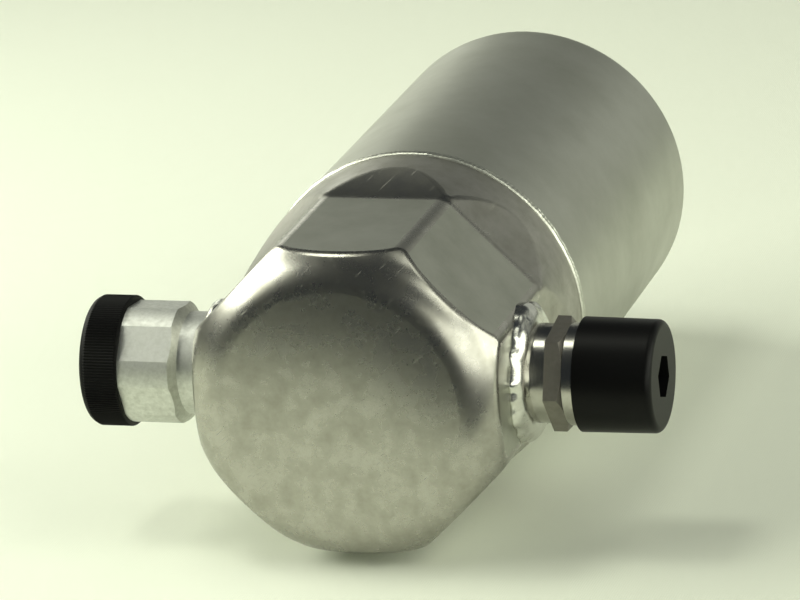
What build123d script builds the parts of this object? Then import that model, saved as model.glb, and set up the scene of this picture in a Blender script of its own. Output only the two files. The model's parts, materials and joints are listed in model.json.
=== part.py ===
from build123d import *
from math import asin, atan2, cos, hypot, pi, radians, sin, sqrt, tan
import os

# Filter drier, lying on its side: a pressed head and a drawn body welded into one
# canister, two threaded ports with screw caps, and the drying stack inside.
# Lengths are in millimetres.  While the pieces are made, the ports' axis is X, the
# canister's axis is Y and they cross at the origin; the head is towards -Y and +Z is up.
# At the end every piece moves along Y, to put the origin in the middle of the straight side.

# canister
canister_radius = 38.1
shell_wall = 2.5
seam_to_ports = 38.6
base_to_ports = 143.0
base_corner_radius = 5.0
crown_to_ports = 29.4
crown_radius = 300.0
crown_edge_radius = 12.0

# eight flats pressed into the head
flat_count = 8
flat_corner_drop = 0.11
flat_end_to_ports = 14.9
flat_ramp_angle = 13.0
flat_foot_radius = 8.0
flat_corner_radius = 4.4
flat_brow_radius = 2.5
flat_ramp_top_radius = 4.0

# girth weld
bead_width = 2.5
bead_root_width = 0.8
bead_height = 0.5

# inlet fitting, towards -X
inlet_spigot_radius = 10.4
inlet_neck_radius = 11.6
inlet_neck_length = 7.9
inlet_bar_radius = 13.83
inlet_bar_chamfer = 1.5
inlet_bar_length = 11.9
inlet_across_flats = 26.4
inlet_flat_turn = 53.5
inlet_thread_radius = 11.11
inlet_thread_pitch = 25.4 / 14
inlet_thread_length = 5.9
inlet_bore_radius = 6.5
inlet_bore_depth = 24.0
inlet_passage_radius = 5.0
inlet_weld_radius = 14.6
inlet_weld_height = 2.6

# outlet fitting, towards +X
outlet_spigot_radius = 9.9
outlet_neck_radius = 11.1
outlet_neck_length = 6.7
outlet_across_flats = 22.23
outlet_hex_width = 4.0
outlet_hex_turn = 8.7
outlet_hex_chamfer_angle = 30.0
outlet_groove_radius = 11.4
outlet_groove_length = 2.6
outlet_thread_radius = 9.525
outlet_thread_pitch = 25.4 / 16
outlet_thread_length = 9.0
outlet_bore_radius = 5.0
outlet_bore_depth = 18.0
outlet_weld_radius = 15.7
outlet_weld_height = 3.4

# both fittings
thread_depth_per_pitch = 0.613
thread_lead_in = 0.8
spigot_reach = 2.0
tube_socket_depth = 4.0
weld_bulge_rise = 0.72
weld_bulge_spread = 0.74

# inlet cap, ribbed round its side
inlet_cap_radius = 14.84
inlet_cap_end = 2.2
inlet_cap_rim_height = 1.4
inlet_cap_rim_step = 0.1
inlet_cap_edge_radius = 1.37
inlet_rib_count = 60
inlet_rib_depth = 0.35

# outlet cap, smooth, with a hexagonal recess
outlet_cap_radius = 12.79
outlet_cap_draft = 0.7
outlet_cap_edge_radius = 1.5
outlet_recess_across_flats = 9.0
outlet_recess_depth = 6.0
outlet_recess_floor = 1.8
outlet_recess_turn = 40.0

# both caps
cap_seal_thickness = 1.0
cap_thread_clearance = 0.06

# drying stack
slip = 0.2
spring_seat_thickness = 1.5
spring_seat_clearance = 1.2
spring_seat_opening = 21.0
spring_length = 18.0
spring_radius = 25.0
spring_wire = 2.0
spring_turns = 3.0
plate_thickness = 1.2
pad_thickness = 6.0
hole_radius = 3.0
inner_hole_row_radius = 15.5
inner_hole_count = 5
outer_hole_row_radius = 26.5
outer_hole_count = 9
stand_clearance = 1.6
stand_height = 27.0
stand_wall = 1.5
stand_window_count = 6
stand_window_width = 16.0
stand_window_height = 15.0

# pick-up tube and what is on it
tube_radius = 4.76
tube_wall = 0.9
tube_bend_radius = 14.0
tube_end_to_base = 11.0
sleeve_radius = 8.5
sleeve_hub_radius = 7.2
strainer_radius = 8.0
strainer_wall = 0.6
strainer_collar_length = 5.0
strainer_length = 9.0
strainer_slot_count = 8
strainer_slot_width = 2.4
strainer_slot_length = 4.5
strainer_slot_reach = 2.4

# how far a cutting shape reaches past what it cuts
spare = 3.0

# worked out from the sizes above
inner_radius = canister_radius - shell_wall
flat_to_axis = (canister_radius - flat_corner_drop) * cos(pi / flat_count)
inner_flat_to_axis = flat_to_axis - shell_wall
base_inside = base_to_ports - shell_wall
fitting_inner_end = inner_flat_to_axis - spigot_reach
tube_socket_end = fitting_inner_end + tube_socket_depth
outlet_shoulder = flat_to_axis + outlet_neck_length + outlet_hex_width + outlet_groove_length
outlet_tip = outlet_shoulder + outlet_thread_length
outlet_cap_length = outlet_thread_length + cap_seal_thickness + outlet_recess_floor + outlet_recess_depth
inlet_shoulder = flat_to_axis + inlet_neck_length + inlet_bar_chamfer + inlet_bar_length
inlet_tip = inlet_shoulder + inlet_thread_length
inlet_cap_length = inlet_thread_length + cap_seal_thickness + inlet_cap_end
spring_seat_radius = inner_radius - spring_seat_clearance
stand_radius = inner_radius - (base_corner_radius - shell_wall) - stand_clearance
seat_front = flat_end_to_ports + (spring_seat_radius - inner_flat_to_axis) / tan(radians(flat_ramp_angle))
spring_front = seat_front + spring_seat_thickness
upper_plate_front = spring_front + spring_length
upper_pad_front = upper_plate_front + plate_thickness
bed_front = upper_pad_front + pad_thickness
stand_front = base_inside - stand_height
lower_plate_front = stand_front - plate_thickness
lower_pad_front = lower_plate_front - pad_thickness
tube_end = base_inside - tube_end_to_base


def turned(outline, axis):
    """Solid of revolution of a closed outline drawn in the XY plane."""
    return revolve(make_face(outline), axis=axis)


def cup_outline(radius, crown, dome_radius, edge_radius, end):
    """Half section of a round cup with a slightly domed front, down to y = end."""
    dome_centre = dome_radius - crown
    across = radius - edge_radius
    edge_centre = dome_centre - sqrt((dome_radius - edge_radius) ** 2 - across**2)
    edge_angle = atan2(edge_centre - dome_centre, across)
    meet = Vector(dome_radius * cos(edge_angle), dome_centre + dome_radius * sin(edge_angle))
    dome_half = asin(meet.X / dome_radius) / 2
    dome_mid = Vector(dome_radius * sin(dome_half), dome_centre - dome_radius * cos(dome_half))
    edge_mid = Vector(across + edge_radius * cos(edge_angle / 2),
                      edge_centre + edge_radius * sin(edge_angle / 2))
    return Curve() + [
        Line((0, end), (0, -crown)),
        ThreePointArc((0, -crown), dome_mid, meet),
        ThreePointArc(meet, edge_mid, (radius, edge_centre)),
        Line((radius, edge_centre), (radius, end)),
        Line((radius, end), (0, end)),
    ]


def flat_press(flat_distance, foot_radius):
    """What one press flat takes off: a flat, a curved foot and a ramp out to the round."""
    slope = radians(flat_ramp_angle)
    foot = foot_radius * tan(slope / 2)
    outside = canister_radius + spare
    front = -crown_to_ports - spare
    foot_start = (flat_distance, flat_end_to_ports - foot)
    foot_end = (flat_distance + foot * sin(slope), flat_end_to_ports + foot * cos(slope))
    ramp_end = (outside, flat_end_to_ports + (outside - flat_distance) / tan(slope))
    outline = Curve() + [
        Line((flat_distance, front), foot_start),
        RadiusArc(foot_start, foot_end, foot_radius),
        Line(foot_end, ramp_end),
        Line(ramp_end, (outside, front)),
        Line((outside, front), (flat_distance, front)),
    ]
    return extrude(make_face(outline), amount=canister_radius, both=True)


def pressed_cup(radius, crown, dome_radius, edge_radius, flat_distance, foot_radius, corner_radius):
    """Solid inside the round cup with its flats pressed in and their corners rounded."""
    cup = turned(cup_outline(radius, crown, dome_radius, edge_radius, seam_to_ports), Axis.Y)
    press = flat_press(flat_distance, foot_radius)
    for turn in range(flat_count):
        cup -= Rot(0, turn * 360 / flat_count, 0) * press
    corner_to_axis = flat_distance / cos(pi / flat_count)
    corners = [edge for edge in cup.edges().filter_by(Axis.Y)
               if abs(hypot(edge.center().X, edge.center().Z) - corner_to_axis) < 0.01]
    return fillet(corners, corner_radius)


def head_outside():
    """Solid inside the head's outer surface, with the flats' other edges rounded too."""
    head = pressed_cup(canister_radius, crown_to_ports, crown_radius, crown_edge_radius,
                       flat_to_axis, flat_foot_radius, flat_corner_radius)
    crown_edge = crown_edge_radius - crown_to_ports
    brows = [edge for edge in head.edges().filter_by(GeomType.BSPLINE)
             if edge.center().Y < crown_edge and hypot(edge.center().X, edge.center().Z) > crown_edge_radius]
    head = fillet(brows, flat_brow_radius)
    ramp_tops = [edge for edge in head.edges().filter_by(GeomType.ELLIPSE)
                 if edge.length > flat_foot_radius and edge.center().Y > flat_end_to_ports]
    return fillet(ramp_tops, flat_ramp_top_radius)


def head_shell():
    """Pressed cup with eight flats, a bevelled rim and a hole for each fitting."""
    inside = pressed_cup(inner_radius, crown_to_ports - shell_wall, crown_radius - shell_wall,
                         crown_edge_radius - shell_wall, inner_flat_to_axis,
                         flat_foot_radius + shell_wall, flat_corner_radius - shell_wall)
    shell = head_outside() - inside - bead_groove()
    outlet_hole = Plane.YZ * Cylinder(outlet_spigot_radius, 2 * canister_radius,
                                      align=(Align.CENTER, Align.CENTER, Align.MIN))
    inlet_hole = Plane.YZ * Cylinder(inlet_spigot_radius, 2 * canister_radius,
                                     align=(Align.CENTER, Align.CENTER, Align.MAX))
    return shell - outlet_hole - inlet_hole


def bead_groove():
    """Ring that the girth weld fills, bevelled on both sides of the seam."""
    outside = canister_radius + spare
    half_root = bead_root_width / 2
    half_width = bead_width / 2
    half_outside = half_width + spare * (half_width - half_root) / shell_wall
    outline = Polyline((inner_radius, seam_to_ports - half_root),
                       (outside, seam_to_ports - half_outside),
                       (outside, seam_to_ports + half_outside),
                       (inner_radius, seam_to_ports + half_root), close=True)
    return turned(outline, Axis.Y)


def girth_weld():
    """Weld ring in the bevelled groove, with a low round crown."""
    half_root = bead_root_width / 2
    half_width = bead_width / 2
    crown = canister_radius + bead_height
    outline = Curve() + [
        Line((inner_radius, seam_to_ports + half_root), (inner_radius, seam_to_ports - half_root)),
        Line((inner_radius, seam_to_ports - half_root), (canister_radius, seam_to_ports - half_width)),
        ThreePointArc((canister_radius, seam_to_ports - half_width), (crown, seam_to_ports),
                      (canister_radius, seam_to_ports + half_width)),
        Line((canister_radius, seam_to_ports + half_width), (inner_radius, seam_to_ports + half_root)),
    ]
    return turned(outline, Axis.Y)


def body_shell():
    """Drawn cup that forms the long round side and the flat base."""
    outside = Curve() + [
        Line((0, seam_to_ports), (canister_radius, seam_to_ports)),
        Line((canister_radius, seam_to_ports), (canister_radius, base_to_ports - base_corner_radius)),
        RadiusArc((canister_radius, base_to_ports - base_corner_radius),
                  (canister_radius - base_corner_radius, base_to_ports), -base_corner_radius),
        Line((canister_radius - base_corner_radius, base_to_ports), (0, base_to_ports)),
        Line((0, base_to_ports), (0, seam_to_ports)),
    ]
    corner = base_corner_radius - shell_wall
    inside = Curve() + [
        Line((0, seam_to_ports - spare), (inner_radius, seam_to_ports - spare)),
        Line((inner_radius, seam_to_ports - spare), (inner_radius, base_inside - corner)),
        RadiusArc((inner_radius, base_inside - corner), (inner_radius - corner, base_inside), -corner),
        Line((inner_radius - corner, base_inside), (0, base_inside)),
        Line((0, base_inside), (0, seam_to_ports - spare)),
    ]
    return turned(outside, Axis.Y) - turned(inside, Axis.Y) - bead_groove()


def hexagon_bar(across_flats, turn, start, end):
    """Hexagonal bar along X from start to end; turn is in degrees about X."""
    section = RegularPolygon(across_flats / 2, 6, major_radius=False, rotation=turn)
    return Pos(start, 0, 0) * extrude(Plane.YZ * section, amount=end - start)


def rod(radius, start, end):
    """Round bar along X from start to end."""
    return Pos(start, 0, 0) * extrude(Plane.YZ * Circle(radius), amount=end - start)


def thread_root(thread_radius, pitch):
    return thread_radius - thread_depth_per_pitch * pitch


def outlet_fitting():
    """Turned fitting with a hexagonal collar, for the tube inside and a threaded line outside."""
    neck_end = flat_to_axis + outlet_neck_length
    collar_end = neck_end + outlet_hex_width
    root = thread_root(outlet_thread_radius, outlet_thread_pitch)
    corner = outlet_across_flats / 2 / cos(pi / 6)
    chamfer_rise = corner - outlet_across_flats / 2
    outline = Polyline(
        (fitting_inner_end, 0), (fitting_inner_end, outlet_spigot_radius),
        (flat_to_axis, outlet_spigot_radius), (flat_to_axis, outlet_neck_radius),
        (neck_end, outlet_neck_radius), (neck_end, corner),
        (collar_end - chamfer_rise * tan(radians(outlet_hex_chamfer_angle)), corner),
        (collar_end, outlet_across_flats / 2),
        (collar_end, outlet_groove_radius), (outlet_shoulder, outlet_groove_radius), (outlet_shoulder, root),
        (outlet_tip - thread_lead_in, root), (outlet_tip, root - thread_lead_in), (outlet_tip, 0), close=True)
    fitting = turned(outline, Axis.X)
    around_collar = rod(corner + spare, neck_end, collar_end)
    fitting -= around_collar - hexagon_bar(outlet_across_flats, outlet_hex_turn, neck_end, collar_end)
    fitting -= rod(outlet_bore_radius, outlet_tip - outlet_bore_depth, outlet_tip)
    fitting -= rod(tube_radius - tube_wall, tube_socket_end, outlet_tip)
    return fitting - rod(tube_radius, fitting_inner_end, tube_socket_end)


def inlet_fitting():
    """Turned fitting with six flats milled on its round bar."""
    neck_end = flat_to_axis + inlet_neck_length
    bar_start = neck_end + inlet_bar_chamfer
    root = thread_root(inlet_thread_radius, inlet_thread_pitch)
    outline = Polyline(
        (fitting_inner_end, 0), (fitting_inner_end, inlet_spigot_radius),
        (flat_to_axis, inlet_spigot_radius), (flat_to_axis, inlet_neck_radius),
        (neck_end, inlet_neck_radius), (bar_start, inlet_bar_radius),
        (inlet_shoulder, inlet_bar_radius), (inlet_shoulder, root), (inlet_tip - thread_lead_in, root),
        (inlet_tip, root - thread_lead_in), (inlet_tip, 0), close=True)
    fitting = turned(outline, Axis.X)
    around_bar = rod(inlet_bar_radius + spare, neck_end, inlet_shoulder)
    fitting -= around_bar - hexagon_bar(inlet_across_flats, inlet_flat_turn, neck_end, inlet_shoulder)
    fitting -= rod(inlet_bore_radius, inlet_tip - inlet_bore_depth, inlet_tip)
    fitting -= rod(inlet_passage_radius, fitting_inner_end, inlet_tip)
    return mirror(fitting, about=Plane.YZ)


def port_weld(neck_radius, weld_radius, height):
    """Full, round weld bead between a head flat and the neck that stands on it, towards +X."""
    below = flat_to_axis - shell_wall / 2
    top = flat_to_axis + height
    bulge = Vector(flat_to_axis + height * weld_bulge_rise,
                   neck_radius + (weld_radius - neck_radius) * weld_bulge_spread)
    outline = Curve() + [
        Line((below, neck_radius), (top, neck_radius)),
        ThreePointArc((top, neck_radius), bulge, (flat_to_axis, weld_radius)),
        Line((flat_to_axis, weld_radius), (below, weld_radius)),
        Line((below, weld_radius), (below, neck_radius)),
    ]
    return turned(outline, Axis.X)


def outlet_weld():
    return port_weld(outlet_neck_radius, outlet_weld_radius, outlet_weld_height) - head_outside()


def inlet_weld():
    bead = port_weld(inlet_neck_radius, inlet_weld_radius, inlet_weld_height)
    return mirror(bead, about=Plane.YZ) - head_outside()


def outlet_cap():
    """Smooth screw cap with a hexagonal recess for a key in its end."""
    face = outlet_shoulder + outlet_cap_length
    bore = outlet_thread_radius + cap_thread_clearance
    end_radius = outlet_cap_radius - outlet_cap_length * tan(radians(outlet_cap_draft))
    outline = Polyline((outlet_shoulder, 0), (outlet_shoulder, outlet_cap_radius), (face, end_radius),
                       (face, 0), close=True)
    cap = turned(outline, Axis.X)
    cap = fillet(cap.edges().group_by(Axis.X)[-1], outlet_cap_edge_radius)
    cap -= rod(bore, outlet_shoulder, outlet_tip + cap_seal_thickness)
    return cap - hexagon_bar(outlet_recess_across_flats, outlet_recess_turn, face - outlet_recess_depth, face)


def inlet_cap():
    """Low screw cap with fine ribs round its side and a rounded end."""
    face = inlet_shoulder + inlet_cap_length
    ribs_end = face - inlet_cap_rim_height
    rib_angle = 2 * pi / inlet_rib_count
    valley = inlet_cap_radius - inlet_rib_depth
    ring = []
    for rib in range(inlet_rib_count):
        ring.append((inlet_cap_radius * cos(rib * rib_angle), inlet_cap_radius * sin(rib * rib_angle)))
        ring.append((valley * cos((rib + 0.5) * rib_angle), valley * sin((rib + 0.5) * rib_angle)))
    ribbed = Plane.YZ * Polygon(*ring, align=None)
    cap = Pos(inlet_shoulder, 0, 0) * extrude(ribbed, amount=ribs_end - inlet_shoulder)
    rim = rod(valley * cos(rib_angle / 2) - inlet_cap_rim_step, ribs_end, face)
    cap += fillet(rim.edges().group_by(Axis.X)[-1], inlet_cap_edge_radius)
    bore = inlet_thread_radius + cap_thread_clearance
    cap -= rod(bore, inlet_shoulder, inlet_tip + cap_seal_thickness)
    return mirror(cap, about=Plane.YZ)


def outlet_cap_seal():
    return rod(outlet_thread_radius, outlet_tip, outlet_tip + cap_seal_thickness)


def inlet_cap_seal():
    return mirror(rod(inlet_thread_radius, inlet_tip, inlet_tip + cap_seal_thickness), about=Plane.YZ)


def ring_piece(outer, inner, start, end):
    """Flat ring round the canister's axis, from y = start to y = end."""
    outline = Polyline((inner, start), (outer, start), (outer, end), (inner, end), close=True)
    return turned(outline, Axis.Y)


def spring_seat():
    """Ring that the eight ramps inside the head stop from sliding forward."""
    return ring_piece(spring_seat_radius, spring_seat_opening, seat_front, spring_front)


def bed_spring():
    """Coil spring of square wire that keeps the drying bed packed."""
    height = spring_length - spring_wire
    start = spring_front + spring_wire / 2
    coil = Helix(pitch=height / spring_turns, height=height, radius=spring_radius,
                 center=(0, start, 0), direction=(0, 1, 0))
    outwards = Vector((coil @ 0).X, 0, (coil @ 0).Z)
    section = Plane(origin=coil @ 0, x_dir=outwards, z_dir=coil % 0) * Rectangle(spring_wire, spring_wire)
    return sweep(section, path=coil, is_frenet=True)


def drilled_plate(front):
    """Round plate with rings of flow holes and a hole for the tube's sleeve."""
    plate = ring_piece(inner_radius - slip, sleeve_hub_radius, front, front + plate_thickness)
    rows = ((inner_hole_row_radius, inner_hole_count), (outer_hole_row_radius, outer_hole_count))
    for row_radius, count in rows:
        for hole in range(count):
            angle = 360 * hole / count
            drill = Rot(0, angle, 0) * Pos(row_radius, front, 0) * Rot(-90, 0, 0) * Cylinder(
                hole_radius, plate_thickness, align=(Align.CENTER, Align.CENTER, Align.MIN))
            plate -= drill
    return plate


def upper_plate():
    return drilled_plate(upper_plate_front)


def lower_plate():
    return drilled_plate(lower_plate_front)


def upper_filter_pad():
    return ring_piece(inner_radius - slip, sleeve_radius, upper_pad_front, bed_front)


def lower_filter_pad():
    return ring_piece(inner_radius - slip, sleeve_radius, lower_pad_front, lower_plate_front)


def desiccant_bed():
    return ring_piece(inner_radius - slip, tube_radius + slip, bed_front, lower_pad_front)


def tube_sleeve(hub_start, hub_end, body_start, body_end):
    """Sleeve round the tube, stepped down where it passes through a plate."""
    hub = ring_piece(sleeve_hub_radius, tube_radius, hub_start, hub_end)
    return hub + ring_piece(sleeve_radius, tube_radius, body_start, body_end)


def upper_tube_sleeve():
    return tube_sleeve(upper_plate_front, upper_pad_front, upper_pad_front, bed_front)


def lower_tube_sleeve():
    return tube_sleeve(lower_plate_front, stand_front, lower_pad_front, lower_plate_front)


def bed_stand():
    """Open ring that holds the lower plate off the base, with flow windows in its side."""
    stand = ring_piece(stand_radius, stand_radius - stand_wall, stand_front, base_inside)
    middle = (stand_front + base_inside) / 2
    for window in range(stand_window_count):
        angle = 360 * (window + 0.5) / stand_window_count
        cutter = Box(2 * (stand_wall + spare), stand_window_height, stand_window_width)
        stand -= Rot(0, angle, 0) * Pos(stand_radius, middle, 0) * cutter
    return stand


def pickup_tube():
    """Bent tube from the outlet fitting to near the base, on the canister's axis."""
    route = Curve() + [
        Line((tube_socket_end, 0), (tube_bend_radius, 0)),
        RadiusArc((tube_bend_radius, 0), (0, tube_bend_radius), tube_bend_radius),
        Line((0, tube_bend_radius), (0, tube_end)),
    ]
    start = Plane(origin=(tube_socket_end, 0, 0), z_dir=(-1, 0, 0))
    tube = sweep(start * Circle(tube_radius), path=route)
    return tube - sweep(start * Circle(tube_radius - tube_wall), path=route)


def pickup_strainer():
    """Slotted can pushed over the end of the tube."""
    collar_start = tube_end - strainer_collar_length
    can_end = tube_end + strainer_length
    outline = Polyline(
        (tube_radius, collar_start), (tube_radius + strainer_wall, collar_start),
        (tube_radius + strainer_wall, tube_end - strainer_wall), (strainer_radius, tube_end - strainer_wall),
        (strainer_radius, can_end), (0, can_end), (0, can_end - strainer_wall),
        (strainer_radius - strainer_wall, can_end - strainer_wall),
        (strainer_radius - strainer_wall, tube_end),
        (tube_radius, tube_end), close=True)
    strainer = turned(outline, Axis.Y)
    middle = (tube_end + can_end) / 2
    for slot in range(strainer_slot_count):
        cutter = Box(strainer_slot_reach, strainer_slot_length, strainer_slot_width)
        strainer -= Rot(0, 360 * slot / strainer_slot_count, 0) * Pos(strainer_radius, middle, 0) * cutter
    return strainer


pieces = (
    head_shell, body_shell, girth_weld,
    inlet_fitting, inlet_weld, inlet_cap, inlet_cap_seal,
    outlet_fitting, outlet_weld, outlet_cap, outlet_cap_seal,
    pickup_tube, pickup_strainer, upper_tube_sleeve, lower_tube_sleeve,
    spring_seat, bed_spring, upper_plate, upper_filter_pad, desiccant_bed,
    lower_filter_pad, lower_plate, bed_stand,
)

# the part's own origin: on the canister's axis, half way along the straight side that a band holds
band_start = seam_to_ports + bead_width / 2
band_end = base_to_ports - base_corner_radius
to_band = Pos(0, -(band_start + band_end) / 2, 0)

os.makedirs("parts", exist_ok=True)
for piece in pieces:
    export_step(to_band * piece(), f"parts/{piece.__name__}.step")
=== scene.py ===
import bpy
import json
import math
import random
from mathutils import Matrix, Vector, noise


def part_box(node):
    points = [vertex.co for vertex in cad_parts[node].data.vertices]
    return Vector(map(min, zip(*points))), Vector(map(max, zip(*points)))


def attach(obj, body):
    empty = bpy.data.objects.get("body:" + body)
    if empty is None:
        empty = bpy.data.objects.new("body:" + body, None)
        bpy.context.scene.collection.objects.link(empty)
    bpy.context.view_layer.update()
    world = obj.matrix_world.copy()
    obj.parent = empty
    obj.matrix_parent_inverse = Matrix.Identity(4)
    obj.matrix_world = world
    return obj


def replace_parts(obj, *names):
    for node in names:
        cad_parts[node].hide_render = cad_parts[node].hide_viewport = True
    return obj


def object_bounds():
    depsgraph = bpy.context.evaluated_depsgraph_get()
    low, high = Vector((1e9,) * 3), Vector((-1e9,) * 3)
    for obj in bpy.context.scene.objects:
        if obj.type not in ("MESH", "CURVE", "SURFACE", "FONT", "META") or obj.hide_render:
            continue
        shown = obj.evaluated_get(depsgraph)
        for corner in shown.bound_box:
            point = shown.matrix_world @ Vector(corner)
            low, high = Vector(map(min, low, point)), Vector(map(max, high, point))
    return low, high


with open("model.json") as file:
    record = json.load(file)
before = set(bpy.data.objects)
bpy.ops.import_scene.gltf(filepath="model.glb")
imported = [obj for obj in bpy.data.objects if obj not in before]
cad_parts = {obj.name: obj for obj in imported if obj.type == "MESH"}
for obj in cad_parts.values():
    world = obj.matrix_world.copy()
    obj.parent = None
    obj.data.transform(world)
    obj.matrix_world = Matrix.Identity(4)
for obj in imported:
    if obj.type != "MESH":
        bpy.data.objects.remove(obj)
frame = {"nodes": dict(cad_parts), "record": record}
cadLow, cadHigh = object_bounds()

mm = 0.001
inch = 25.4              # mm
nodes = frame["nodes"]
mounts = {mount["name"]: mount for mount in frame["record"]["mounts"]}
portsY = mounts["outlet_thread"]["pos_m"][1]      # the ports' axis crosses the canister's axis here
canisterRadius = mounts["clamp_band"]["dims"]["r_mm"] * mm


def linear(hexColour):
    channels = [int(hexColour[i:i + 2], 16) / 255 for i in (1, 3, 5)]
    return [c / 12.92 if c <= 0.04045 else ((c + 0.055) / 1.055) ** 2.4 for c in channels] + [1.0]


def newMaterial(name, values):
    material = bpy.data.materials.new(name)
    material.use_nodes = True
    tree = material.node_tree
    shader = tree.nodes["Principled BSDF"]
    for key, value in values.items():
        shader.inputs[key].default_value = value
    return material, tree, shader


def addNode(tree, kind, settings=None, links=None):
    node = tree.nodes.new(kind)
    for key, value in (settings or {}).items():
        if isinstance(key, str) and hasattr(node, key):
            setattr(node, key, value)
        else:
            node.inputs[key].default_value = value
    for key, source in (links or {}).items():
        tree.links.new(source, node.inputs[key])
    return node


def addNoise(tree, size, detail, place, roughness=0.5):      # size is the grain's real size in mm
    settings = {"Scale": 1 / (size * mm), "Detail": detail, "Roughness": roughness}
    return addNode(tree, "ShaderNodeTexNoise", settings, {"Vector": place}).outputs[0]


def addBump(tree, height, source, normal=None):              # height in mm
    links = {"Height": source} if normal is None else {"Height": source, "Normal": normal}
    return addNode(tree, "ShaderNodeBump", {"Strength": 1.0, "Distance": height * mm}, links).outputs[0]


def addMath(tree, operation, first, second):
    return addNode(tree, "ShaderNodeMath", {"operation": operation}, {0: first, 1: second}).outputs[0]


def meshPiece(name, points, faces, material, body, smooth=True):
    mesh = bpy.data.meshes.new(name)
    mesh.from_pydata(points, [], faces)
    mesh.materials.append(material)
    for face in mesh.polygons:
        face.use_smooth = smooth
    piece = bpy.data.objects.new(name, mesh)
    bpy.context.scene.collection.objects.link(piece)
    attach(piece, body)
    return piece


def tubeFaces(rowCount, pointCount, wrapRows=False):
    faces = []
    for row in range(rowCount if wrapRows else rowCount - 1):
        here, after = row * pointCount, (row + 1) % rowCount * pointCount
        for i in range(pointCount):
            j = (i + 1) % pointCount
            faces.append((here + i, here + j, after + j, after + i))
    return faces


def portPoint(side, outward, radius, angle):      # side is 1 for the outlet and -1 for the inlet
    return (side * outward, portsY + side * radius * math.cos(angle), radius * math.sin(angle))


camera = {
    "place": (338.7, -1052.3, 384.7),             # mm from where the ports' axis crosses the canister's
    "yaw": 17.5, "pitch": 18.47, "roll": -4.19,
    "focalPixels": 5242, "imageWidth": 800, "sensor": 36.0,
}


def addCamera(c):
    yaw, pitch, roll = (math.radians(c[key]) for key in ("yaw", "pitch", "roll"))
    forward = Vector((-math.sin(yaw) * math.cos(pitch), math.cos(yaw) * math.cos(pitch), -math.sin(pitch)))
    level = Vector((math.cos(yaw), math.sin(yaw), 0))
    upright = level.cross(forward)
    right = math.cos(roll) * level + math.sin(roll) * upright
    up = math.cos(roll) * upright - math.sin(roll) * level
    data = bpy.data.cameras.new("camera")
    data.sensor_width = c["sensor"]
    data.lens = c["focalPixels"] / c["imageWidth"] * c["sensor"]
    view = bpy.data.objects.new("camera", data)
    place = Vector(c["place"]) * mm + Vector((0, portsY, 0))
    view.matrix_world = Matrix.Translation(place) @ Matrix((right, up, -forward)).transposed().to_4x4()
    bpy.context.scene.collection.objects.link(view)
    bpy.context.scene.camera = view


addCamera(camera)
print("camera set")


def polished(tree, place, roughness, s):          # the press tool burnishes the end that it rubs on
    along = addNode(tree, "ShaderNodeSeparateXYZ", None, {0: place}).outputs["Y"]
    settings = {"From Min": portsY + s["from"] * mm, "From Max": portsY + s["to"] * mm,
                "To Min": s["share"], "To Max": 1.0, "interpolation_type": "SMOOTHSTEP"}
    share = addNode(tree, "ShaderNodeMapRange", settings, {"Value": along})
    return addMath(tree, "MULTIPLY", roughness, share.outputs[0])


def scratched(tree, place, roughness, s):         # handling leaves short dull lines on the shine
    slant = addNode(tree, "ShaderNodeMapping", {"Rotation": (0, s["slant"], 0)}, {"Vector": place})
    scale = (1 / (s["length"] * mm), 1 / (s["depth"] * mm), 1 / (s["width"] * mm))
    narrow = addNode(tree, "ShaderNodeMapping", {"Scale": scale}, {"Vector": slant.outputs[0]})
    marks = addNode(tree, "ShaderNodeTexNoise", {"Scale": 1.0, "Detail": 1.0}, {"Vector": narrow.outputs[0]})
    dulling = addNode(tree, "ShaderNodeMapRange",
                      {"From Min": s["from"], "From Max": s["from"] + s["fade"], "To Max": s["dulling"]},
                      {"Value": marks.outputs[0]})
    return addMath(tree, "ADD", roughness, dulling.outputs[0])


smudges = {"detail": 5.0, "roughness": 0.62, "from": 0.35, "to": 0.7}      # noise from clean to smudged
fineDetail = 3.0                  # octaves in lines and grain


def makeAluminium(s):             # sizes and heights in mm; real lines and grain are finer, drawn to show
    material, tree, shader = newMaterial(s["name"], {"Metallic": 1.0})
    place = addNode(tree, "ShaderNodeTexCoord").outputs["Object"]
    smudge = addNoise(tree, s["smudgeSize"], smudges["detail"], place, smudges["roughness"])
    spread = addNode(tree, "ShaderNodeMapRange", {"From Min": smudges["from"], "From Max": smudges["to"]},
                     {"Value": smudge}).outputs[0]
    colour = addNode(tree, "ShaderNodeMix",
                     {"data_type": "RGBA", 6: linear(s["colour"]), 7: linear(s["smudged"])}, {0: spread})
    tree.links.new(colour.outputs[2], shader.inputs["Base Color"])
    roughness = addNode(tree, "ShaderNodeMapRange",
                        {"To Min": s["roughness"], "To Max": s["roughness"] + s["roughSpread"]},
                        {"Value": spread}).outputs[0]
    if "polish" in s:
        roughness = polished(tree, place, roughness, s["polish"])
    if "scratches" in s:
        roughness = scratched(tree, place, roughness, s["scratches"])
    tree.links.new(roughness, shader.inputs["Roughness"])
    stretched = addNode(tree, "ShaderNodeMapping", {"Scale": s["lineStretch"]}, {"Vector": place}).outputs[0]
    lineBump = addBump(tree, s["lineHeight"], addNoise(tree, s["lineSize"], fineDetail, stretched))
    grainBump = addBump(tree, s["grainHeight"], addNoise(tree, s["grainSize"], fineDetail, place), lineBump)
    tree.links.new(grainBump, shader.inputs["Normal"])
    return material


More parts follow.
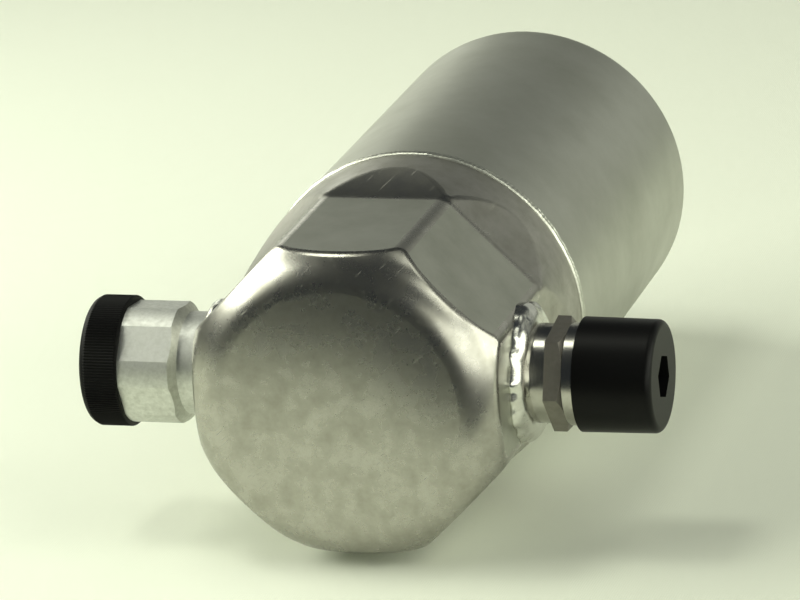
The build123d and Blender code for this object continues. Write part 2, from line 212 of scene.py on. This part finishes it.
drawnAluminium = makeAluminium({          # deep drawn: an even dull sheen, faint lines, dark smudges
    "name": "drawnAluminium", "colour": "#bebfb6", "smudged": "#afb0a6", "smudgeSize": 22.0,
    "roughness": 0.44, "roughSpread": 0.05,
    "lineStretch": (1.0, 0.04, 1.0), "lineSize": 0.9, "lineHeight": 0.0016,
    "grainSize": 0.35, "grainHeight": 0.002,
})
pressedAluminium = makeAluminium({        # pressed on a polished tool: soft mirror crown, duller by the rim
    "name": "pressedAluminium", "colour": "#b3b1aa", "smudged": "#9f9d94", "smudgeSize": 5.0,
    "roughness": 0.40, "roughSpread": 0.08, "polish": {"from": 12.0, "to": 34.0, "share": 0.64},
    "scratches": {"slant": 0.7, "length": 3.0, "width": 0.22, "depth": 25.0, "from": 0.71, "fade": 0.05,
                  "dulling": 0.25},
    "lineStretch": (1.0, 1.0, 1.0), "lineSize": 3.5, "lineHeight": 0.0015,
    "grainSize": 0.4, "grainHeight": 0.0006,
})
coinedAluminium = makeAluminium({         # squeezed flat by hard dies: even and satin, with fine tool lines
    "name": "coinedAluminium", "colour": "#b7b8ad", "smudged": "#a8a99e", "smudgeSize": 12.0,
    "roughness": 0.34, "roughSpread": 0.08,
    "lineStretch": (1.0, 0.05, 1.0), "lineSize": 0.7, "lineHeight": 0.0015,
    "grainSize": 0.4, "grainHeight": 0.001,
})
milledAluminium = makeAluminium({         # milled bar: bright, speckled by the cutter, with fine rings
    "name": "milledAluminium", "colour": "#d6d7d2", "smudged": "#c2c3bd", "smudgeSize": 1.2,
    "roughness": 0.45, "roughSpread": 0.14,
    "lineStretch": (1.0, 0.12, 0.12), "lineSize": 0.5, "lineHeight": 0.006,
    "grainSize": 0.45, "grainHeight": 0.008,
})
turnedAluminium = makeAluminium({         # turned on a lathe: smooth and bright, with rings round its axis
    "name": "turnedAluminium", "colour": "#b9b7b0", "smudged": "#a9a79f", "smudgeSize": 5.0,
    "roughness": 0.20, "roughSpread": 0.08,
    "lineStretch": (1.0, 0.02, 0.02), "lineSize": 0.3, "lineHeight": 0.002,
    "grainSize": 0.5, "grainHeight": 0.0004,
})
rolledAluminium = makeAluminium({         # bar stock left as it was rolled: brownish and dull
    "name": "rolledAluminium", "colour": "#97938b", "smudged": "#89857e", "smudgeSize": 3.0,
    "roughness": 0.48, "roughSpread": 0.10,
    "lineStretch": (0.08, 1.0, 1.0), "lineSize": 0.4, "lineHeight": 0.002,
    "grainSize": 0.4, "grainHeight": 0.001,
})
weldedAluminium = makeAluminium({         # frozen from liquid: bright and wet-looking, with small wrinkles
    "name": "weldedAluminium", "colour": "#dcdcd6", "smudged": "#c8c7be", "smudgeSize": 3.0,
    "roughness": 0.2, "roughSpread": 0.10,
    "lineStretch": (1.0, 1.0, 1.0), "lineSize": 2.6, "lineHeight": 0.006,
    "grainSize": 0.6, "grainHeight": 0.001,
})
seamAluminium = makeAluminium({           # fused by a machine, then brushed: a pale satin line
    "name": "seamAluminium", "colour": "#d2d3c9", "smudged": "#bcbdb2", "smudgeSize": 4.0,
    "roughness": 0.34, "roughSpread": 0.10,
    "lineStretch": (1.0, 1.0, 1.0), "lineSize": 0.8, "lineHeight": 0.004,
    "grainSize": 0.4, "grainHeight": 0.002,
})
extrudedAluminium = makeAluminium({       # extruded and drawn tube: silvery, with faint lines along it
    "name": "extrudedAluminium", "colour": "#c0c1bc", "smudged": "#adaea8", "smudgeSize": 8.0,
    "roughness": 0.30, "roughSpread": 0.08,
    "lineStretch": (1.0, 0.05, 1.0), "lineSize": 0.4, "lineHeight": 0.002,
    "grainSize": 0.4, "grainHeight": 0.001,
})


def makeSteel(s):
    material, tree, shader = newMaterial(s["name"], {"Metallic": 1.0, "Base Color": linear(s["colour"])})
    place = addNode(tree, "ShaderNodeTexCoord").outputs["Object"]
    spangle = addNode(tree, "ShaderNodeTexVoronoi", {"Scale": 1 / (s["spangleSize"] * mm)}, {"Vector": place})
    tone = addNode(tree, "ShaderNodeSeparateColor", None, {0: spangle.outputs["Color"]})
    rough = addNode(tree, "ShaderNodeMapRange",
                    {"To Min": s["roughness"], "To Max": s["roughness"] + s["roughSpread"]},
                    {"Value": tone.outputs[0]})
    tree.links.new(rough.outputs[0], shader.inputs["Roughness"])
    return material


def makeGrained(s):               # real mould grain is finer too, drawn to show
    material, tree, shader = newMaterial(s["name"], {
        "Base Color": linear(s["colour"]), "Roughness": s["roughness"],
        "Specular IOR Level": s.get("specular", 0.5)})
    place = addNode(tree, "ShaderNodeTexCoord").outputs["Object"]
    bump = addBump(tree, s["grainHeight"], addNoise(tree, s["grainSize"], fineDetail, place))
    tree.links.new(bump, shader.inputs["Normal"])
    return material


galvanisedSteel = makeSteel({             # sheet dipped in zinc: pale grey, with spangles of varied dullness
    "name": "galvanisedSteel", "colour": "#a9adb0", "roughness": 0.30, "roughSpread": 0.15,
    "spangleSize": 4.0})
springSteel = makeSteel({                 # drawn and phosphated wire: dark grey, nearly even
    "name": "springSteel", "colour": "#5c5d5e", "roughness": 0.38, "roughSpread": 0.06,
    "spangleSize": 1.0})
stainlessSteel = makeSteel({              # rolled and pierced sheet: clean and silvery
    "name": "stainlessSteel", "colour": "#b4b3ae", "roughness": 0.28, "roughSpread": 0.05,
    "spangleSize": 1.5})
mouldedNylon = makeGrained({              # moulded in a spark-eroded mould: black, dulled by a fine grain
    "name": "mouldedNylon", "colour": "#060606", "roughness": 0.5, "specular": 0.12,
    "grainSize": 0.3, "grainHeight": 0.012})
mouldedPolyethylene = makeGrained({       # moulded in a smoother mould: black, with a low waxy sheen
    "name": "mouldedPolyethylene", "colour": "#060606", "roughness": 0.42, "specular": 0.16,
    "grainSize": 0.35, "grainHeight": 0.008})
mouldedRubber = makeGrained({             # cut from moulded sheet: black and nearly without shine
    "name": "mouldedRubber", "colour": "#101010", "roughness": 0.75,
    "grainSize": 0.5, "grainHeight": 0.01})
mouldedPolypropylene = makeGrained({      # moulded, uncoloured: milky white with a soft shine
    "name": "mouldedPolypropylene", "colour": "#dedcd2", "roughness": 0.4,
    "grainSize": 2.0, "grainHeight": 0.01})
needledFelt = makeGrained({               # fibres matted with barbed needles: off-white and fuzzy
    "name": "needledFelt", "colour": "#d6d3c6", "roughness": 1.0, "specular": 0.1,
    "grainSize": 0.4, "grainHeight": 0.25})
beadedZeolite = makeGrained({             # small fired beads: pale tan and chalky, with a pebbled surface
    "name": "beadedZeolite", "colour": "#cdb894", "roughness": 0.95, "specular": 0.2,
    "grainSize": 1.8, "grainHeight": 0.7})


def dress(nodeName, material):
    node = nodes[nodeName]
    node.data.materials.clear()
    node.data.materials.append(material)
    for face in node.data.polygons:
        face.material_index = 0


finishes = [
    ("canister", pressedAluminium, ["head_shell"]),
    ("canister", drawnAluminium, ["body_shell"]),
    ("weld", seamAluminium, ["girth_weld"]),
    ("weld", weldedAluminium, ["inlet_weld", "outlet_weld"]),
    ("fitting", milledAluminium, ["inlet_fitting"]),
    ("fitting", turnedAluminium, ["outlet_fitting"]),
    ("tube", extrudedAluminium, ["pickup_tube"]),
    ("cap", mouldedNylon, ["inlet_cap"]),
    ("cap", mouldedPolyethylene, ["outlet_cap"]),
    ("seal", mouldedRubber, ["inlet_cap_seal", "outlet_cap_seal"]),
    ("seal", mouldedPolypropylene, ["upper_tube_sleeve", "lower_tube_sleeve"]),
    ("steel", galvanisedSteel, ["spring_seat", "upper_plate", "lower_plate", "bed_stand"]),
    ("steel", springSteel, ["bed_spring"]),
    ("screen", stainlessSteel, ["pickup_strainer"]),
    ("felt", needledFelt, ["upper_filter_pad", "lower_filter_pad"]),
    ("desiccant", beadedZeolite, ["desiccant_bed"]),
]
for slot, material, nodeNames in finishes:
    for nodeName in nodeNames:
        dress(nodeName, material)

flats = {"count": 8, "tolerance": 0.002, "reach": 0.5}        # reach in mm


def dressFlats(s):                # the flats face straight out at even steps and get the coined finish
    head = nodes["head_shell"].data
    head.materials.append(coinedAluminium)
    step = 2 * math.pi / s["count"]
    flatDistance = canisterRadius * math.cos(step / 2)
    for face in head.polygons:
        turn = math.atan2(face.normal.z, face.normal.x) / step
        outward = face.center.x * face.normal.x + face.center.z * face.normal.z
        level = abs(face.normal.y) < s["tolerance"] and abs(turn - round(turn)) < s["tolerance"]
        if level and abs(outward - flatDistance) < s["reach"] * mm:
            face.material_index = 1


collar = {"start": 41.7, "end": 45.7, "inside": 11.0}         # mm along the ports' axis, and from it


def dressCollar(s):               # the collar's six sides keep the bar's own surface
    fitting = nodes["outlet_fitting"].data
    fitting.materials.append(rolledAluminium)
    for face in fitting.polygons:
        across = math.hypot(face.center.y - portsY, face.center.z)
        if s["start"] * mm < face.center.x < s["end"] * mm and across > s["inside"] * mm:
            face.material_index = 1


crownMiddle = {"radius": 0.1}     # mm


def easeCrown(s):                 # a modifier evens the normal at the crown's middle; no point moves
    tree = bpy.data.node_groups.new("evenCrown", "GeometryNodeTree")
    tree.interface.new_socket("Mesh", in_out="INPUT", socket_type="NodeSocketGeometry")
    tree.interface.new_socket("Mesh", in_out="OUTPUT", socket_type="NodeSocketGeometry")
    place = addNode(tree, "GeometryNodeInputPosition").outputs["Position"]
    normal = addNode(tree, "GeometryNodeInputNormal").outputs["Normal"]
    away = addNode(tree, "ShaderNodeVectorMath", {"operation": "DISTANCE", 1: (0, cadLow.y, 0)}, {0: place})
    near = addNode(tree, "FunctionNodeCompare", {"operation": "LESS_THAN", 1: s["radius"] * mm},
                   {0: away.outputs["Value"]})
    even = addNode(tree, "GeometryNodeSwitch", {"input_type": "VECTOR", 2: (0, -1, 0)},
                   {0: near.outputs[0], 1: normal})
    source = addNode(tree, "NodeGroupInput").outputs[0]
    eased = addNode(tree, "GeometryNodeSetMeshNormal", {"mode": "FREE", "domain": "CORNER"},
                    {"Mesh": source, "Custom Normal": even.outputs[0]})
    addNode(tree, "NodeGroupOutput", None, {0: eased.outputs[0]})
    nodes["head_shell"].modifiers.new("evenCrown", "NODES").node_group = tree


dressFlats(flats)
dressCollar(collar)
easeCrown(crownMiddle)
print("materials set")


threadForm = {                    # the section lies in pitches along the port and shares of the depth out
    "depthPerPitch": 0.613, "taperTurns": 0.25, "stepsPerTurn": 64, "thinnest": 0.02,
    "section": [(-0.44, 0.0), (-0.07, 1.0), (0.07, 1.0), (0.44, 0.0), (0.3, -0.15), (-0.3, -0.15)],
}
inletThread = {"name": "inlet_thread_ridge", "pitch": inch / 14, "plainTurns": 0.9, **threadForm}
outletThread = {"name": "outlet_thread_ridge", "pitch": inch / 16, "plainTurns": 1.0, **threadForm}


def addThread(side, mount, fitting, s):           # a helical ridge on the plain core, from shoulder to tip
    radius = mount["dims"]["r_mm"] * mm
    tip = abs(mount["pos_m"][0])
    start = tip - mount["dims"]["length_mm"] * mm
    pitch = s["pitch"] * mm
    root = radius - s["depthPerPitch"] * pitch
    turns = (tip - start) / pitch - s["plainTurns"]
    steps = round(turns * s["stepsPerTurn"])
    points = []
    for step in range(steps + 1):
        turn = turns * step / steps
        grown = max(min(1.0, turn / s["taperTurns"], (turns - turn) / s["taperTurns"]), s["thinnest"])
        middle = start + pitch * (turn + 0.5)
        for along, height in s["section"]:
            points.append(portPoint(side, middle + along * pitch, root + (radius - root) * height * grown,
                                    2 * math.pi * turn))
    count = len(s["section"])
    faces = tubeFaces(steps + 1, count)
    faces += [tuple(range(count))[::-1], tuple(steps * count + i for i in range(count))]
    return meshPiece(s["name"], points, faces, fitting, "canister", smooth=False)


addThread(-1, mounts["inlet_thread"], milledAluminium, inletThread)
addThread(1, mounts["outlet_thread"], turnedAluminium, outletThread)
print("threads made")


beadSkin = {                      # scales of the uneven skin, how it fades, and its hidden skirt in mm
    "wanderScale": 3.0, "lumpScale": 2.2, "lumpDrift": 0.8, "edgeScale": 5.0, "rippleLean": 1.8,
    "fadeMargin": 0.02, "fadePower": 0.6, "skirt": 1.2, "skirtDip": 2.0, "seedReach": 50,
}
inletBead = {"name": "inlet_weld_bead", "rise": 2.6, "width": 3.0, "rows": 14, "points": 400, "seed": 4,
             "ripples": 30, "rippleHeight": 0.05, "bow": 0.5, "wander": 0.5, "lump": 0.35,
             "edgeWander": 0.02, "fullness": 0.8, **beadSkin}
outletBead = {"name": "outlet_weld_bead", "rise": 3.4, "width": 4.6, "rows": 20, "points": 480, "seed": 9,
              "ripples": 20, "rippleHeight": 0.02, "bow": 0.8, "wander": 0.8, "lump": 0.6,
              "edgeWander": 0.05, "fullness": 1.15, **beadSkin}


def addPortWeld(side, nodeName, s):               # overlapping ripples; a skirt runs down inside the shell
    low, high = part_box(nodeName)
    foot = (high.z - low.z) / 2
    top = max(abs(low.x), abs(high.x))
    flat = top - s["rise"] * mm
    neck = foot - s["width"] * mm
    count, rows = s["points"], s["rows"]
    rng = random.Random(s["seed"])
    offset = Vector([rng.uniform(0, s["seedReach"]) for _ in range(3)])
    points = []
    for row in range(rows + 2):
        share = min(row / rows, 1.0)              # 0 at the neck, 1 at the foot
        lean = math.pi / 2 * share
        fade = math.sin(math.pi * min(max(share, s["fadeMargin"]), 1 - s["fadeMargin"])) ** s["fadePower"]
        drift = Vector((0, 0, share * s["lumpDrift"]))
        for i in range(count):
            angle = 2 * math.pi * i / count
            around = Vector((math.cos(angle), math.sin(angle), 0))
            wander = noise.noise(around * s["wanderScale"] + offset) * s["wander"]
            crest = angle * s["ripples"] / (2 * math.pi) + s["bow"] * (2 * share - 1) ** 2 + wander
            step = crest - math.floor(crest)
            ripple = s["rippleHeight"] * math.sin(math.pi * step ** s["rippleLean"])
            lump = s["lump"] * noise.noise(around * s["lumpScale"] + offset * 2 + drift)
            swell = (ripple + lump) * fade * mm
            edge = 1 + s["edgeWander"] * noise.noise(around * s["edgeScale"] + offset) * share
            radius = neck + (foot * edge - neck) * math.sin(lean) ** s["fullness"] + swell * math.sin(lean)
            out = flat + (top - flat) * max(math.cos(lean), 0) ** s["fullness"] + swell * math.cos(lean)
            if row > rows:                        # the skirt
                out = flat - (s["skirt"] + s["skirtDip"] * abs(math.sin(angle)) ** 4) * mm
            points.append(portPoint(side, out, radius, angle))
    piece = meshPiece(s["name"], points, tubeFaces(rows + 2, count), weldedAluminium, "canister")
    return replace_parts(piece, nodeName)


addPortWeld(-1, "inlet_weld", inletBead)
addPortWeld(1, "outlet_weld", outletBead)
print("port welds made")


girthBead = {"name": "girth_weld_bead", "rows": 12, "points": 1400, "ripples": 210, "rippleHeight": 0.03,
             "bow": 1.8, "wander": 2, "wanderScale": 9, "dip": 0.45, "dipWidth": 1.1,
             "unevenness": 0.25, "unevenScale": 14, "depth": 2.5, "rootWidth": 0.3}


def addGirthWeld(s):              # laid by a machine: two fine crests, with close ripples across them
    low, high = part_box("girth_weld")
    seam, halfWidth = (low.y + high.y) / 2, (high.y - low.y) / 2
    height = high.z - canisterRadius
    inner = canisterRadius - s["depth"] * mm
    rows, count = s["rows"], s["points"]
    points = []
    for row in range(rows + 1):
        across = 2 * row / rows - 1
        crown = (1 - across ** 4) * (1 - s["dip"] * math.cos(math.pi * across / s["dipWidth"]) ** 2)
        for i in range(count):
            angle = 2 * math.pi * i / count
            around = Vector((math.cos(angle), math.sin(angle), 0))
            wander = s["wander"] * noise.noise(around * s["wanderScale"])
            crest = s["ripples"] * angle + s["bow"] * (1 - across ** 2) + wander
            ripple = s["rippleHeight"] * (1 - across ** 2) * math.sin(crest)
            uneven = 1 + s["unevenness"] * noise.noise(around * s["unevenScale"])
            radius = canisterRadius + height * crown * uneven + ripple * mm
            points.append((radius * math.cos(angle), seam + across * halfWidth, radius * math.sin(angle)))
    for across in (s["rootWidth"], -s["rootWidth"]):
        for i in range(count):
            angle = 2 * math.pi * i / count
            points.append((inner * math.cos(angle), seam + across * halfWidth, inner * math.sin(angle)))
    faces = tubeFaces(rows + 3, count, wrapRows=True)
    piece = meshPiece(s["name"], points, faces, seamAluminium, "canister")
    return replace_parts(piece, "girth_weld")


addGirthWeld(girthBead)
print("girth weld made")


ribbedCap = {"name": "inlet_cap_ribbed", "ribs": 140, "ribDepth": 0.22, "ribShape": (0.0, 0.5, 1.0, 0.5),
             "lip": 0.5, "lipSlope": 0.4, "edge": 1.6, "edgeSteps": 6, "clearance": 0.06, "seal": 1.0}


def addInletCap(s):
    low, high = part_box("inlet_cap")
    mouth, face = abs(high.x), abs(low.x)
    radius = (high.z - low.z) / 2
    thread = mounts["inlet_thread"]
    bore = (thread["dims"]["r_mm"] + s["clearance"]) * mm
    boreEnd = abs(thread["pos_m"][0]) + s["seal"] * mm
    lip, edge, rib = s["lip"] * mm, s["edge"] * mm, s["ribDepth"] * mm
    rows = [                      # distance outward, radius, and whether the ribs are cut there
        (boreEnd, 0.0, 0), (boreEnd, bore, 0), (mouth, bore, 0), (mouth, radius - rib - lip, 0),
        (mouth + lip * s["lipSlope"], radius - rib, 0), (mouth + lip, radius, 1), (face - edge, radius, 1),
    ]
    for step in range(1, s["edgeSteps"] + 1):
        lean = math.pi / 2 * step / s["edgeSteps"]
        rows.append((face - edge + edge * math.sin(lean), radius - rib - edge * (1 - math.cos(lean)), 0))
    rows.append((face, 0.0, 0))
    steps = len(s["ribShape"])
    count = s["ribs"] * steps
    points = []
    for outward, rowRadius, ribbed in rows:
        for i in range(count):
            cut = rib * s["ribShape"][i % steps] * ribbed
            points.append(portPoint(-1, outward, rowRadius - cut, 2 * math.pi * i / count))
    faces = tubeFaces(len(rows), count)
    piece = meshPiece(s["name"], points, faces, mouldedNylon, "inlet_cap", smooth=False)
    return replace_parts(piece, "inlet_cap")


addInletCap(ribbedCap)
print("inlet cap made")


cloth = {                         # mm; its edge lies just in front, so the crown's top mirrors the dark room
    "colour": "#ebefe0", "roughness": 0.9, "weave": 0.55, "weaveHeight": 0.1, "weaveStrength": 0.25,
    "distortion": 1.5, "bandsPerScale": 0.31,
    "edge": [(-1800, -290), (-45, -290), (12, -215), (60, -180), (1800, -180), (1800, 1700), (-1800, 1700)],
}


def addFloor(s):
    material, tree, shader = newMaterial("wovenCotton", {     # washed cotton cloth: pale, matt, faintly woven
        "Base Color": linear(s["colour"]), "Roughness": s["roughness"]})
    place = addNode(tree, "ShaderNodeTexCoord").outputs["Object"]
    scale = s["bandsPerScale"] / (s["weave"] * mm)
    waves = []
    for axis in ("X", "Y"):
        settings = {"bands_direction": axis, "Scale": scale, "Distortion": s["distortion"]}
        waves.append(addNode(tree, "ShaderNodeTexWave", settings, {"Vector": place}).outputs["Fac"])
    threads = addMath(tree, "ADD", *waves)
    settings = {"Strength": s["weaveStrength"], "Distance": s["weaveHeight"] * mm}
    bump = addNode(tree, "ShaderNodeBump", settings, {"Height": threads})
    tree.links.new(bump.outputs[0], shader.inputs["Normal"])
    mesh = bpy.data.meshes.new("floor")
    mesh.from_pydata([(x * mm, y * mm, cadLow.z) for x, y in s["edge"]], [], [tuple(range(len(s["edge"])))])
    mesh.materials.append(material)
    floor = bpy.data.objects.new("floor", mesh)
    bpy.context.scene.collection.objects.link(floor)


lighting = {
    "roomColour": "#303438", "lampColour": "#fcffee",
    "panels": [                   # name, place, aim and size in metres, and radiance
        ("leftPanel", (-0.52, -0.1, 0.36), (0, -0.1, 0.36), (0.86, 0.40), 6.4),
        ("overheadPanel", (-0.42, -0.08, 1.2), (-0.05, -0.08, 0), (0.28, 0.28), 10.5),
        ("overheadRightPanel", (0.55, 0.1, 1.15), (0, -0.06, 0), (0.5, 0.5), 1.6),
        ("rightLowPanel", (0.84, -0.8, 0.205), (0, -0.1, 0.205), (1.25, 0.48), 2.8),
        ("rightHighPanel", (0.8, -0.5, 0.75), (0, -0.1, 0), (0.6, 0.5), 2.8),
        ("rightSidePanel", (1.05, 0.1, 0.35), (0, 0.1, 0.35), (0.9, 0.6), 3.2),
        ("backPanel", (0.2, 1.9, 0.45), (0, 0, 0.1), (2.6, 0.8), 0.5),
        ("rearPanel", (0.81, 0.81, 0.78), (0, -0.1, 0), (0.36, 0.36), 0.45),
        ("backLeftPanel", (-0.9, 1.1, 0.35), (0, 0, 0.2), (0.8, 0.6), 1.0),
    ],
}


def addWorld(colour):
    world = bpy.data.worlds.new("studio")
    world.use_nodes = True
    world.node_tree.nodes["Background"].inputs["Color"].default_value = linear(colour)
    bpy.context.scene.world = world


def addPanel(name, place, aim, size, radiance, colour):
    data = bpy.data.lights.new(name, "AREA")
    data.shape = "RECTANGLE"
    data.size, data.size_y = size
    data.energy = radiance * math.pi * size[0] * size[1]
    data.color = linear(colour)[:3]
    panel = bpy.data.objects.new(name, data)
    panel.location = place
    panel.rotation_euler = (Vector(aim) - Vector(place)).to_track_quat("-Z", "Y").to_euler()
    bpy.context.scene.collection.objects.link(panel)


addFloor(cloth)
addWorld(lighting["roomColour"])
for panel in lighting["panels"]:
    addPanel(*panel, lighting["lampColour"])
bpy.context.scene.view_settings.view_transform = "Standard"
print("floor and light set")
